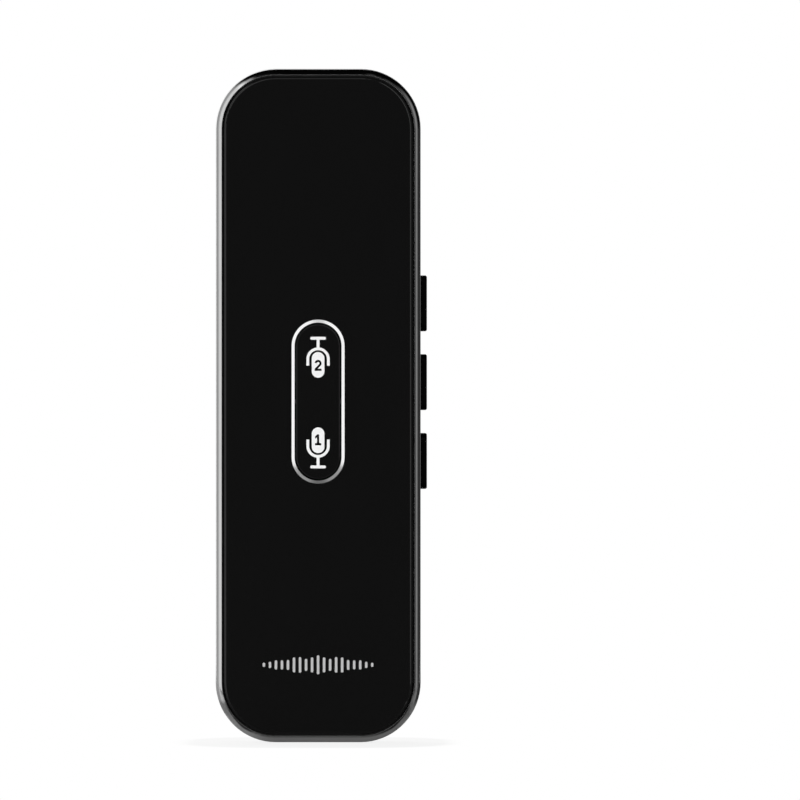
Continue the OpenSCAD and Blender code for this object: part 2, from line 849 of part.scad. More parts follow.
// Two leads from a capsule's back, bent over onto the board
module mic_lead_pair() {
    for (side = [-1, 1]) {
        wire([for (s = drop_shape) [side * mic_lead_x, -s[1] * mic_rise, boot_t + s[0] * mic_lead_reach]],
            thin_wire_d, [1, 0, 0]);
    }
}

module mic_leads() {
    color([0.75, 0.1, 0.1]) {
        at_top_mic() mic_lead_pair();
        at_bottom_mic() mic_lead_pair();
    }
}

module housing_screws() {
    seat_y = plate_front_y + counterbore_t;
    color([0.4, 0.4, 0.42]) at_bosses() {
        rod(head_d, seat_y - head_t, seat_y);
        rod(screw_d, seat_y - head_t / 2, seat_y + screw_l);
    }
}

module board_screws() {
    color([0.6, 0.6, 0.62]) at_standoffs() {
        rod(board_screw_d + 1, board_front_y - 0.5, board_front_y);
        rod(board_screw_d, board_front_y - 0.3, board_back_y + board_screw_l);
    }
}

rear_shell();
front_frame();
front_glass();
glass_adhesive();
key_bezel();
rocker_key();
rocker_pivot_pin();
talk_switch(1);  // talk_switch_upper
talk_switch(-1);  // talk_switch_lower
side_button(1);  // power_button
side_button(0);  // volume_up_button
side_button(-1);  // volume_down_button
side_switch(1);  // power_switch
side_switch(0);  // volume_up_switch
side_switch(-1);  // volume_down_switch
switch_stem(1);  // power_stem
switch_stem(0);  // volume_up_stem
switch_stem(-1);  // volume_down_stem
main_board();
processor_shield();
board_components();
antenna();
usb_socket_shell();
usb_socket_tongue();
battery_cell();
battery_tape();
battery_pad();
battery_protection_board();
battery_connector();
battery_lead_red();
battery_lead_black();
speaker_basket();
speaker_magnet();
speaker_cone();
speaker_gasket();
speaker_mesh();
speaker_leads();
mic_boot_top();
mic_boot_bottom();
mic_capsule_top();
mic_capsule_bottom();
mic_leads();
housing_screws();
board_screws();
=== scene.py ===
"""Looks of a handheld translator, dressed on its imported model. Metres, upright, front to -Y."""

import math

import bmesh
import bpy
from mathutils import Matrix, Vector


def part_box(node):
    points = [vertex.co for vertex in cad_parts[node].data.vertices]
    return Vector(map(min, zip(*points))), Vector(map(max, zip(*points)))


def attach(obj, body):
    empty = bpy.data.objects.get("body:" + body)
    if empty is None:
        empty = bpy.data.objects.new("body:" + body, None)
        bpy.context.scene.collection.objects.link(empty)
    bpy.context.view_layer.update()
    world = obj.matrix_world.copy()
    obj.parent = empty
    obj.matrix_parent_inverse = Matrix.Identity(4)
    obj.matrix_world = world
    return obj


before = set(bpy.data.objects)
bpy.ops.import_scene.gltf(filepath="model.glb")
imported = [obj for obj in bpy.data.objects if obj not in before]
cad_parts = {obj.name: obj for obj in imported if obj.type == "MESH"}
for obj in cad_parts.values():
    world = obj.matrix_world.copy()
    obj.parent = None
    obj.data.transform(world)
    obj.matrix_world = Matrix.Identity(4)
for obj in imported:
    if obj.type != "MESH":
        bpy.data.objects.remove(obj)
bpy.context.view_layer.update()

MM = 0.001
TO_FRONT = (0, -1, 0)

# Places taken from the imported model
FRAME_LOW, FRAME_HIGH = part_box("front_frame")
KEY_LOW, KEY_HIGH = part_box("rocker_key")
TONGUE_LOW, TONGUE_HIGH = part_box("usb_socket_tongue")
GLASS_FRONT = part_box("front_glass")[0].y
KEY_FRONT = KEY_LOW.y
KEY_Z = (KEY_LOW.z + KEY_HIGH.z) / 2
TONGUE_Y = (TONGUE_LOW.y + TONGUE_HIGH.y) / 2
BODY_W = FRAME_HIGH.x - FRAME_LOW.x
BODY_H = FRAME_HIGH.z
MIDDLE = (0, 0, BODY_H / 2)
TOP = (0, 0, BODY_H)

# The body's corners and bright rim, as seen from the front
CORNER_R = 12.3 * MM
RIM_W = 1.3 * MM

# Printed marks, in millimetres. Rise and drop are counted from the middle of the talk key, and
# within a mark from the middle of its fork.
INK_T = 0.012
MARK_RISE = 8.71
MARK_DROP = 9.11
FORK_R = 2.1
FORK_T = 0.56
FORK_ARM = 1.35
STEM_W = 0.6
FOOT_W = 3.2
FOOT_T = 0.6
FOOT_DROP = 4.26
CAPSULE_W = 2.6
CAPSULE_H = 5.25
CAPSULE_RISE = 1.19

# Figures on the capsules, in millimetres. The flag of the 1 is counted down from its top.
DIGIT_RISE = 1.29
DIGIT_H = 2.25
DIGIT_T = 0.44
ONE_W = 1.26
FLAG_ROOT = 0.6
FLAG_TIP_LOW = 0.95
FLAG_TIP_HIGH = 0.5
FLAG_BEVEL = 0.04
TWO_W = 1.42
TWO_HEEL_X = 0.62
TWO_BOWL_START = 170
TWO_BOWL_END = -38

# Row of bars low on the glass, in millimetres
BARS_Z = 15.9
BARS_W = 22.7
BARS_H = 3.9
BAR_COUNT = 19
BAR_T = 0.52
BAR_LEAST = 0.22
RIPPLES = 5
RIPPLE_SHARE = 0.45

# Contacts on the blade of the charging socket, in millimetres
BLADE_T = 0.7
CONTACT_COUNT = 12
CONTACT_W = 0.28
CONTACT_L = 3.1
CONTACT_Z = 3.8
CONTACT_PITCH = 0.5

# Camera: straight on, far away, level with the middle of the object
CAMERA_X = 16.77 * MM
CAMERA_Z = 70.13 * MM
CAMERA_DISTANCE = 1500 * MM
PIXELS = 800
PIXELS_PER_MM = 4.885
SENSOR = 36

# The ranges that most values of a noise, and of the mean of two, lie in
NOISE_RANGE = (0.3, 0.7)
MEAN_NOISE_RANGE = (0.35, 0.65)


# ---------------------------------------------------------------- node helpers
def add(tree, kind, inputs=None, **settings):
    """A node of that kind, with its settings, and its inputs set or linked."""
    node = tree.nodes.new(kind)
    for key, value in settings.items():
        setattr(node, key, value)
    for key, value in (inputs or {}).items():
        if isinstance(value, bpy.types.NodeSocket):
            tree.links.new(value, node.inputs[key])
        else:
            node.inputs[key].default_value = value
    return node


def math_node(tree, operation, first, second=0.0):
    return add(tree, "ShaderNodeMath", {0: first, 1: second}, operation=operation).outputs["Value"]


def vector_node(tree, operation, first, second=(0, 0, 0)):
    node = add(tree, "ShaderNodeVectorMath", {0: first, 1: second}, operation=operation)
    return node.outputs["Value" if operation in ("DOT_PRODUCT", "LENGTH") else "Vector"]


def chain(tree, operation, values):
    """One value made from several by a math operation."""
    result = values[0]
    for value in values[1:]:
        result = math_node(tree, operation, result, value)
    return result


def total(tree, values):
    return chain(tree, "ADD", values)


def product(tree, values):
    return chain(tree, "MULTIPLY", values)


def highest(tree, values):
    return chain(tree, "MAXIMUM", values)


def remap(tree, value, low, high, source=NOISE_RANGE, smooth=False):
    """Takes value from the source range to low..high, and stays there outside it."""
    inputs = {
        "Value": value,
        "From Min": source[0],
        "From Max": source[1],
        "To Min": low,
        "To Max": high,
    }
    kind = "SMOOTHSTEP" if smooth else "LINEAR"
    return add(tree, "ShaderNodeMapRange", inputs, interpolation_type=kind).outputs["Result"]


def blend(tree, factor, first, second):
    """A value between two, by factor."""
    return add(tree, "ShaderNodeMix", {0: factor, 2: first, 3: second}).outputs[0]


def blend_colours(tree, factor, first, second):
    """A colour between two, by factor."""
    linked = bpy.types.NodeSocket
    first, second = [c if isinstance(c, linked) else (*c, 1) for c in (first, second)]
    inputs = {0: factor, 6: first, 7: second}
    return add(tree, "ShaderNodeMix", inputs, data_type="RGBA").outputs[2]


def new_material(name):
    """A material with its node tree emptied to a Principled shader."""
    material = bpy.data.materials.new(name)
    material.use_nodes = True
    tree = material.node_tree
    tree.nodes.clear()
    shader = add(tree, "ShaderNodeBsdfPrincipled")
    add(tree, "ShaderNodeOutputMaterial", {"Surface": shader.outputs["BSDF"]})
    return material, tree, shader


def tree_and_shader(material):
    """The node tree and the shader of a material that a finish builds on."""
    return material.node_tree, material.node_tree.nodes["Principled BSDF"]


def source_of(shader, name):
    """What is linked to an input of the shader."""
    return shader.inputs[name].links[0].from_socket


def object_point(tree):
    """The point on the object, in metres."""
    return add(tree, "ShaderNodeTexCoord").outputs["Object"]


def axes(tree, vector):
    """The x, y and z of a vector."""
    return add(tree, "ShaderNodeSeparateXYZ", {0: vector}).outputs


def place(tree, stretch=(1, 1, 1)):
    """The point on the object, in metres, stretched."""
    inputs = {"Vector": object_point(tree), "Scale": stretch}
    return add(tree, "ShaderNodeMapping", inputs).outputs["Vector"]


def noise(tree, size, detail=2.0, stretch=(1, 1, 1)):
    """Noise from 0 to 1 whose lumps are about size metres across."""
    inputs = {"Vector": place(tree, stretch), "Scale": 1 / size, "Detail": detail}
    return add(tree, "ShaderNodeTexNoise", inputs).outputs["Fac"]


def bump(tree, shader, height, depth):
    """Raises the surface by height times depth metres."""
    node = add(tree, "ShaderNodeBump", {"Height": height, "Distance": depth})
    tree.links.new(node.outputs["Normal"], shader.inputs["Normal"])


def grey(level):
    return (level, level, level)


def shades(colour, spread):
    """A darker and a lighter shade of a colour."""
    return [c * (1 - spread) for c in colour], [min(1, c * (1 + spread)) for c in colour]


def inset(tree):
    """How far a point lies inside the body's outline, seen from the front, in metres."""
    centred = vector_node(tree, "SUBTRACT", object_point(tree), MIDDLE)
    folded = vector_node(tree, "ABSOLUTE", centred)
    corner = (BODY_W / 2 - CORNER_R, 1, BODY_H / 2 - CORNER_R)
    past = vector_node(tree, "SUBTRACT", folded, corner)
    outside = vector_node(tree, "LENGTH", vector_node(tree, "MAXIMUM", past, (0, 0, 0)))
    across, _, up = axes(tree, past)
    inside = math_node(tree, "MINIMUM", highest(tree, [across, up]), 0.0)
    return math_node(tree, "SUBTRACT", CORNER_R, total(tree, [outside, inside]))


# ---------------------------------------------------------------- finishes
def metal(
    name,
    colour,
    roughness,
    metallic=1.0,
    grain=0.1 * MM,
    depth=0.001 * MM,
    stretch=(1, 1, 1),
    patch=0.06,
):
    """Metal with fine grain, uneven satin and slight changes of tone."""
    uneven = 0.04
    material, tree, shader = new_material(name)
    shader.inputs["Metallic"].default_value = metallic
    patches = noise(tree, 12 * MM, detail=3)
    fine = noise(tree, grain, stretch=stretch)
    mixed = math_node(tree, "MULTIPLY", total(tree, [patches, fine]), 0.5)
    tone = blend_colours(tree, remap(tree, mixed, 0, 1, MEAN_NOISE_RANGE), *shades(colour, patch))
    satin = remap(tree, fine, roughness - uneven, roughness + uneven)
    tree.links.new(tone, shader.inputs["Base Color"])
    tree.links.new(satin, shader.inputs["Roughness"])
    bump(tree, shader, fine, depth)
    return material


def gloss(name, colour, roughness):
    """Gloss plastic or glass with faint smudges."""
    smudge = 0.02
    material, tree, shader = new_material(name)
    patches = noise(tree, 9 * MM, detail=4, stretch=(1, 1, 0.6))
    tone = blend_colours(tree, patches, *shades(colour, 0.06))
    tree.links.new(tone, shader.inputs["Base Color"])
    tree.links.new(remap(tree, patches, roughness, roughness + smudge), shader.inputs["Roughness"])
    return material


def plain(name, colour, roughness, lump=0.6 * MM, depth=0.01 * MM, specular=0.5):
    """Moulded or coated matter with a fine uneven surface."""
    uneven = 0.06
    material, tree, shader = new_material(name)
    shader.inputs["Specular IOR Level"].default_value = specular
    patches = noise(tree, lump, detail=3)
    tone = blend_colours(tree, patches, *shades(colour, 0.12))
    dull = remap(tree, patches, roughness - uneven, roughness + uneven)
    tree.links.new(tone, shader.inputs["Base Color"])
    tree.links.new(dull, shader.inputs["Roughness"])
    bump(tree, shader, patches, depth)
    return material


def frame_finish(name):
    """Bright rolled rim. The seat of the glass inside it is matt black, and darker further in as
    painted shade.
    """
    seat_border = (RIM_W - 0.02 * MM, RIM_W + 0.01 * MM)
    groove_shade_span = (RIM_W, RIM_W + 0.3 * MM)
    material = metal(name, grey(0.62), roughness=0.13, grain=0.08 * MM, depth=0.0004 * MM)
    tree, shader = tree_and_shader(material)
    inward = inset(tree)
    seat = remap(tree, inward, 0, 1, seat_border)
    # The seat's black gets darker further into the gap between rim and glass: painted shade.
    black = blend_colours(tree, remap(tree, inward, 0, 1, groove_shade_span), grey(0.05), grey(0.01))
    colour = blend_colours(tree, seat, source_of(shader, "Base Color"), black)
    matt = math_node(tree, "MULTIPLY", seat, 0.8)
    rough = highest(tree, [source_of(shader, "Roughness"), matt])
    tree.links.new(colour, shader.inputs["Base Color"])
    tree.links.new(math_node(tree, "SUBTRACT", 1.0, seat), shader.inputs["Metallic"])
    tree.links.new(rough, shader.inputs["Roughness"])
    return material


def shell_finish(name):
    """Satin grey metal. The flat back catches the light as a slightly crowned sheet does: its
    shading falls away by the crown times the square of the distance from its middle."""
    crown = 2.6
    material = metal(
        name,
        (0.41, 0.415, 0.415),
        roughness=0.17,
        metallic=0.85,
        grain=0.16 * MM,
        depth=0.0003 * MM,
        patch=0.02,
    )
    tree = material.node_tree
    across = axes(tree, object_point(tree))[0]
    inputs = {"Height": product(tree, [across, across]), "Distance": -crown}
    sheet = add(tree, "ShaderNodeBump", inputs)
    tree.links.new(sheet.outputs["Normal"], tree.nodes["Bump"].inputs["Normal"])
    return material


def ring_finish(name):
    """Bright cut face between bevels painted black as shade, told apart by how far they turn from
    the front.
    """
    border = (0.85, 0.95)
    material = metal(name, grey(0.93), roughness=0.15)
    tree, shader = tree_and_shader(material)
    normal = add(tree, "ShaderNodeTexCoord").outputs["Normal"]
    facing = vector_node(tree, "DOT_PRODUCT", normal, TO_FRONT)
    face = remap(tree, facing, 0, 1, border)
    # Surfaces that turn away from the front are coloured near black: painted shade, not a black
    # finish.
    colour = blend_colours(tree, face, grey(0.03), source_of(shader, "Base Color"))
    tree.links.new(colour, shader.inputs["Base Color"])
    return material


def board_finish(name):
    """Green lacquer over copper tracks, with gold pads."""
    lacquer = (0.008, 0.06, 0.025)
    covered_copper = (0.02, 0.14, 0.06)
    gold = (0.8, 0.55, 0.2)
    lanes_per_metre = 900
    lane_fold = 0.16
    track_edge = (0.07, 0.1)
    pads_per_metre = 420
    pad_edge = (0.13, 0.15)
    material, tree, shader = new_material(name)
    inputs = {"Vector": place(tree, (1, 1, 0.25)), "Scale": lanes_per_metre}
    lanes = add(tree, "ShaderNodeTexVoronoi", inputs, distance="CHEBYCHEV")
    folded = math_node(tree, "PINGPONG", lanes.outputs["Distance"], lane_fold)
    track = remap(tree, folded, 0, 1, track_edge)
    inputs = {"Vector": place(tree), "Scale": pads_per_metre, "Randomness": 0.7}
    dots = add(tree, "ShaderNodeTexVoronoi", inputs)
    pad = remap(tree, dots.outputs["Distance"], 1, 0, pad_edge)
    green = blend_colours(tree, track, lacquer, covered_copper)
    tree.links.new(blend_colours(tree, pad, green, gold), shader.inputs["Base Color"])
    tree.links.new(pad, shader.inputs["Metallic"])
    tree.links.new(remap(tree, noise(tree, 2 * MM), 0.25, 0.4), shader.inputs["Roughness"])
    bump(tree, shader, total(tree, [track, pad]), 0.02 * MM)
    return material


def mesh_finish(name):
    """Fine woven dust mesh."""
    thread_pitch = 0.2 * MM
    material, tree, shader = new_material(name)
    shader.inputs["Roughness"].default_value = 0.6
    across, _, up = axes(tree, place(tree))
    turns = [math_node(tree, "MULTIPLY", axis, 2 * math.pi / thread_pitch) for axis in (across, up)]
    threads = [math_node(tree, "SINE", turn) for turn in turns]
    weave = remap(tree, product(tree, threads), 0, 1, (-1, 1))
    tone = blend_colours(tree, weave, grey(0.002), grey(0.012))
    tree.links.new(tone, shader.inputs["Base Color"])
    bump(tree, shader, highest(tree, threads), 0.04 * MM)
    return material


FINISHES = {
    "shell_metal": shell_finish,
    "frame_metal": frame_finish,
    "black_glass": lambda n: gloss(n, grey(0.005), roughness=0.04),
    "bright_ring": ring_finish,
    "key_black": lambda n: gloss(n, grey(0.005), roughness=0.05),
    "button_black": lambda n: plain(
        n, grey(0.0006), roughness=0.3, lump=0.3 * MM, depth=0.001 * MM, specular=0.05
    ),
    "adhesive_black": lambda n: plain(n, grey(0.008), roughness=0.8),
    "steel": lambda n: metal(n, grey(0.6), roughness=0.3),
    "switch_metal": lambda n: metal(n, grey(0.5), roughness=0.35),
    "stem_plastic": lambda n: plain(n, grey(0.75), roughness=0.5),
    "circuit_green": board_finish,
    "chip_black": lambda n: plain(n, grey(0.02), roughness=0.5),
    "ceramic_cream": lambda n: plain(n, (0.7, 0.62, 0.48), roughness=0.4),
    "cell_foil": lambda n: metal(
        n, grey(0.6), roughness=0.35, grain=0.6 * MM, depth=0.02 * MM, stretch=(1, 1, 0.08)
    ),
    "foam_black": lambda n: plain(n, grey(0.02), roughness=0.9, lump=0.4 * MM, depth=0.1 * MM),
    "wire_red": lambda n: plain(n, (0.5, 0.01, 0.01), roughness=0.45),
    "wire_black": lambda n: plain(n, grey(0.015), roughness=0.45),
    "speaker_dark": lambda n: plain(n, grey(0.05), roughness=0.4),
    "magnet_metal": lambda n: metal(n, grey(0.4), roughness=0.35),
    "cone_black": lambda n: plain(n, grey(0.02), roughness=0.7),
    "rubber_black": lambda n: plain(n, grey(0.015), roughness=0.8),
    "mesh_black": mesh_finish,
    "capsule_metal": lambda n: metal(n, grey(0.55), roughness=0.3),
    "screw_steel": lambda n: metal(n, grey(0.3), roughness=0.35),
    "white_ink": lambda n: plain(n, grey(0.93), roughness=0.5, lump=0.2 * MM, depth=0.001 * MM),
    "grey_ink": lambda n: plain(n, grey(0.5), roughness=0.5, lump=0.2 * MM, depth=0.001 * MM),
    "contact_gold": lambda n: metal(n, (0.85, 0.6, 0.25), roughness=0.22, grain=0.05 * MM),
}
FINISHED = {name: make(name + "_finish") for name, make in FINISHES.items()}


def dress_model():
    """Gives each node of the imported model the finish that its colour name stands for."""
    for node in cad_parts.values():
        slots = node.data.materials
        slots[0] = FINISHED[slots[0].name.split(".")[0]]


# ---------------------------------------------------------------- printed marks
def arc(centre, radius, start, end, steps=24):
    """Points along an arc, in degrees."""
    angles = [math.radians(start + (end - start) * i / steps) for i in range(steps + 1)]
    return [(centre[0] + radius * math.cos(a), centre[1] + radius * math.sin(a)) for a in angles]


def pill_outline(width, height, centre=(0, 0)):
    """An upright bar with round ends."""
    r = width / 2
    top = (centre[0], centre[1] + height / 2 - r)
    bottom = (centre[0], centre[1] - height / 2 + r)
    return arc(top, r, 0, 180) + arc(bottom, r, 180, 360)


def stand_outline(up):
    """The mark's foot, stem and fork as one outline. Up is 1 upright and -1 upside down."""
    outer = FORK_R + FORK_T / 2
    inner = FORK_R - FORK_T / 2
    lean = math.degrees(math.asin(STEM_W / 2 / outer))
    foot = FOOT_W / 2 - FOOT_T / 2
    foot_top = -FOOT_DROP + FOOT_T / 2
    points = [(outer, FORK_ARM)] + arc((0, 0), outer, 0, -90 + lean)
    points += [(STEM_W / 2, foot_top)]
    points += arc((foot, -FOOT_DROP), FOOT_T / 2, 90, -90, steps=12)
    points += arc((-foot, -FOOT_DROP), FOOT_T / 2, -90, -270, steps=12)
    points += [(-STEM_W / 2, foot_top)]
    points += arc((0, 0), outer, -90 - lean, -180) + [(-outer, FORK_ARM), (-inner, FORK_ARM)]
    points += arc((0, 0), inner, -180, 0) + [(inner, FORK_ARM)]
    return [(x, z * up) for x, z in points]


def one_outline():
    """The figure 1: a stem with a foot and a flag."""
    h = DIGIT_H / 2
    t = DIGIT_T / 2
    foot = ONE_W / 2
    foot_top = -h + DIGIT_T
    stem = [(t, h), (t, foot_top)]
    base = [(foot, foot_top), (foot, -h), (-foot, -h), (-foot, foot_top), (-t, foot_top)]
    tip = [(-foot, h - FLAG_TIP_LOW), (-foot, h - FLAG_TIP_HIGH)]
    return stem + base + [(-t, h - FLAG_ROOT)] + tip + [(-t + FLAG_BEVEL, h)]


def two_outline():
    """The figure 2: a bowl that runs down to a foot."""
    h = DIGIT_H / 2
    r = TWO_W / 2
    foot_top = -h + DIGIT_T
    bowl = (0, h - r)
    outer = arc(bowl, r, TWO_BOWL_START, TWO_BOWL_END, steps=20)
    inner = arc(bowl, r - DIGIT_T, TWO_BOWL_END, TWO_BOWL_START, steps=20)
    foot = [(-r + TWO_HEEL_X, foot_top), (r, foot_top), (r, -h), (-r, -h), (-r, foot_top)]
    return outer + foot + inner


def flat_curve(name, outlines, offset):
    """A curve as thick as ink from outlines in millimetres. Outlines inside others are holes."""
    curve = bpy.data.curves.new(name, "CURVE")
    curve.dimensions = "2D"
    curve.fill_mode = "BOTH"
    curve.extrude = INK_T * MM / 2
    for outline in outlines:
        spline = curve.splines.new("POLY")
        spline.points.add(len(outline) - 1)
        for point, (x, z) in zip(spline.points, outline):
            point.co = ((x + offset[0]) * MM, (z + offset[1]) * MM, 0, 1)
        spline.use_cyclic_u = True
    return curve


def ink(name, outlines, finish, body, front, offset=(0, 0)):
    """A thin printed solid on a surface that faces the front and lies at y = front."""
    curve = flat_curve(name, outlines, offset)
    shape = bpy.data.objects.new(name + "_curve", curve)
    bpy.context.scene.collection.objects.link(shape)
    shape.rotation_euler = (math.pi / 2, 0, 0)
    shape.location = (0, front - INK_T * MM / 2, 0)
    bpy.context.view_layer.update()
    evaluated = shape.evaluated_get(bpy.context.evaluated_depsgraph_get())
    mesh = bpy.data.meshes.new_from_object(evaluated)
    mesh.transform(shape.matrix_world)
    bpy.data.objects.remove(shape)
    mesh.materials.clear()
    mesh.materials.append(FINISHED[finish])
    piece = bpy.data.objects.new(name, mesh)
    bpy.context.scene.collection.objects.link(piece)
    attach(piece, body)


def mic_mark(name, digit, centre_z, up):
    """A microphone mark on the talk key whose capsule shows a figure."""
    centre = (0, centre_z)
    capsule = pill_outline(CAPSULE_W, CAPSULE_H, (0, CAPSULE_RISE * up))
    figure = [(x, z + DIGIT_RISE * up) for x, z in digit]
    ink(name + "_stand", [stand_outline(up)], "white_ink", "talk_key", KEY_FRONT, centre)
    ink(name + "_capsule", [capsule, figure], "white_ink", "talk_key", KEY_FRONT, centre)


def level_bars():
    """A row of plain bars, like a sound level, on the glass near the bottom end."""
    outlines = []
    for i in range(BAR_COUNT):
        u = i / (BAR_COUNT - 1)
        ripple = math.cos(RIPPLES * math.pi * (u - 0.5)) ** 2
        swell = math.sin(math.pi * u) * (1 - RIPPLE_SHARE + RIPPLE_SHARE * ripple)
        height = BARS_H * (BAR_LEAST + (1 - BAR_LEAST) * swell)
        outlines.append(pill_outline(BAR_T, height, ((u - 0.5) * (BARS_W - BAR_T), BARS_Z)))
    ink("sound_level_bars", outlines, "grey_ink", "housing", GLASS_FRONT)


def usb_contacts():
    """Gold strips on both faces of the blade in the charging socket."""
    half = BLADE_T * MM / 2
    strips = []
    for i in range(CONTACT_COUNT):
        x = (i - (CONTACT_COUNT - 1) / 2) * CONTACT_PITCH
        strips.append(pill_outline(CONTACT_W, CONTACT_L, (x, CONTACT_Z)))
    ink("usb_contacts_front", strips, "contact_gold", "housing", TONGUE_Y - half)
    ink("usb_contacts_back", strips, "contact_gold", "housing", TONGUE_Y + half + INK_T * MM)


# ---------------------------------------------------------------- studio
# What shiny surfaces see of the room. Each zone has a level, the angles from the -Y axis at which
# it starts, is full, starts to fade and ends, and its place round that axis: a middle angle, and
# how far from it the zone is full and ends. Round the axis, 0 is towards -X, 90 is up and 180 is
# towards +X. Zones add up where they overlap, so one below 0 dims the others.
ROUND_THE_CAMERA = (7, 10, 24, 31)
BEHIND = (138, 150)
ALL_ROUND = None
ZONES = [
    # Left, right and above, for the rim and the slope behind it
    (0.95, (42, 54, 76, 104), (17, 32, 43)),
    (0.46, (84, 104, 122, 140), (12, 30, 43)),
    (0.50, (43, 58, 66, 86), (57, 4, 11)),
    (0.31, (53, 67, 74, 97), (180, 14, 54)),
    (0.05, (92, 100, 122, 138), (196, 14, 25)),
    (0.06, (42, 52, 58, 72), (136, 36, 41)),
    (0.05, (40, 46, 50, 66), (58, 22, 27)),
    # Round the camera, for the bright ring
    (1.04, ROUND_THE_CAMERA, (90, 109, 115)),
    (-0.4, ROUND_THE_CAMERA, (90, 6, 17)),
    (0.30, ROUND_THE_CAMERA, (-90, 66, 70)),
    (-0.17, ROUND_THE_CAMERA, (-90, 5, 25)),
    # Below, for the ring and the rim seen from above
    (0.2, (32, 39, 80, 88), (-90, 50, 72)),
    # Behind, for the back
    (0.22, BEHIND, ALL_ROUND),
    (0.52, BEHIND, (0, 20, 160)),
    (1.5, (134, 141, 147, 155), (25, 45, 80)),
]
# The level outside the zones, and the even level that matt surfaces see
DARK = 0.0008
AMBIENT = 0.16

# The floor is a disc that reaches far behind the object and a little way in front of it
FLOOR_R = 260 * MM
FLOOR_BACK = 210 * MM
FLOOR_DROP = 0.2 * MM
FLOOR_SIDES = 128
FLOOR_PALE = (0.61, 0.63)
SHADOW_REACH = 22 * MM
SHADOW_WHITE = 0.86

# Painted light and shade on the floor, which only shiny surfaces see: tones, and shares from 0 to 1
# of what they are laid over. Each stretch has its value at the start and at the end, and where it
# starts and ends: in millimetres from the object along x or y, with the front towards -y, or in
# metres from the disc's middle.
FRONT_TONE_X = (0.25, 0.45, (-28, -15))
REAR_TONE_Y = (0, 0.6, (-2, 6))
REAR_SHARE_X = (0, 1, (-33, -25))
LEFT_TONE_Y = (0.75, 0.4, (-8, -1))
LEFT_SHARE_X = (1, 0, (-46, -33))
AHEAD_TONE_Y = (0.26, 0, (-44, -20))
RIGHT_SHARE_X = (0, 1, (16, 26))
NEAR_RIGHT_TONE = 0.2
FAR_RIGHT_TONE_Y = (0.27, 0.05, (-5, -3))
FAR_RIGHT_SHARE_X = (0, 1, (33, 45))
EDGE_TONE = 0.16
EDGE_SHARE_Y = (1, 0, (-28, -18))
EDGE_SHARE_R = (0, 1, (FLOOR_R * 0.89, FLOOR_R * 0.99))
WHITE_SHARE_Y = (0, 1, (30, 100))
WHITE_SHARE_R = (0, 1, (FLOOR_R * 0.84, FLOOR_R * 0.98))
# The painted dark strip in front of the object, seen only in reflections, ends along a line that
# bends forwards beside it
LIT_SHARE_Y = (0.13, 1, (-7.1, -5.5))
LIT_BEND_X = 18
LIT_BEND = 0.6

# Where each lamp stands, what it is aimed at, its width and height, and its power in watts
LAMPS = {
    "front_left": ((-0.58, -0.82, 0.26), MIDDLE, (0.5, 0.6), 5.5),
    "front_right": ((0.58, -0.82, 0.26), MIDDLE, (0.5, 0.6), 5.5),
    "back_left": ((-0.25, 0.25, 0.2), MIDDLE, (0.12, 0.3), 0.9),
    "back_top": ((0, 0.08, 0.4), TOP, (0.2, 0.1), 0.5),
}


def cosine_of(degrees):
    return math.cos(math.radians(degrees))


def angle_window(tree, cosine, start, full, fade=None, end=None):
    """1 between full and fade, in degrees from the axis whose cosine is given, and 0 before the
    start and past the end. Without a fade, it stays 1."""
    rise = remap(tree, cosine, 1, 0, (cosine_of(full), cosine_of(start)), smooth=True)
    if fade is None:
        return rise
    fall = remap(tree, cosine, 0, 1, (cosine_of(end), cosine_of(fade)), smooth=True)
    return product(tree, [rise, fall])


def around_window(tree, flat, middle, inner, outer):
    """1 within the inner angle of a direction round the axis, and 0 outside the outer angle."""
    towards = (-math.cos(math.radians(middle)), 0, math.sin(math.radians(middle)))
    cosine = vector_node(tree, "DOT_PRODUCT", flat, towards)
    return remap(tree, cosine, 0, 1, (cosine_of(outer), cosine_of(inner)), smooth=True)


def zone_light(tree, cosine, flat, level, angles, around):
    """The light of one zone."""
    shares = [level, angle_window(tree, cosine, *angles)]
    if around is not ALL_ROUND:
        shares.append(around_window(tree, flat, *around))
    return product(tree, shares)


def build_world():
    """Pure white for the camera, an even level for matt surfaces, and a studio for shiny ones."""
    world = bpy.data.worlds.new("studio")
    bpy.context.scene.world = world
    world.use_nodes = True
    tree = world.node_tree
    tree.nodes.clear()
    rays = add(tree, "ShaderNodeLightPath").outputs
    direction = add(tree, "ShaderNodeTexCoord").outputs["Generated"]
    cosine = vector_node(tree, "DOT_PRODUCT", direction, TO_FRONT)
    flat = vector_node(tree, "NORMALIZE", vector_node(tree, "MULTIPLY", direction, (1, 0, 1)))
    room = total(tree, [zone_light(tree, cosine, flat, *zone) for zone in ZONES] + [DARK])
    even = blend(tree, rays["Is Diffuse Ray"], room, AMBIENT)
    level = blend(tree, rays["Is Camera Ray"], even, 1.0)
    light = add(tree, "ShaderNodeBackground", {"Strength": level, "Color": (1, 1, 1, 1)})
    add(tree, "ShaderNodeOutputWorld", {"Surface": light.outputs[0]})


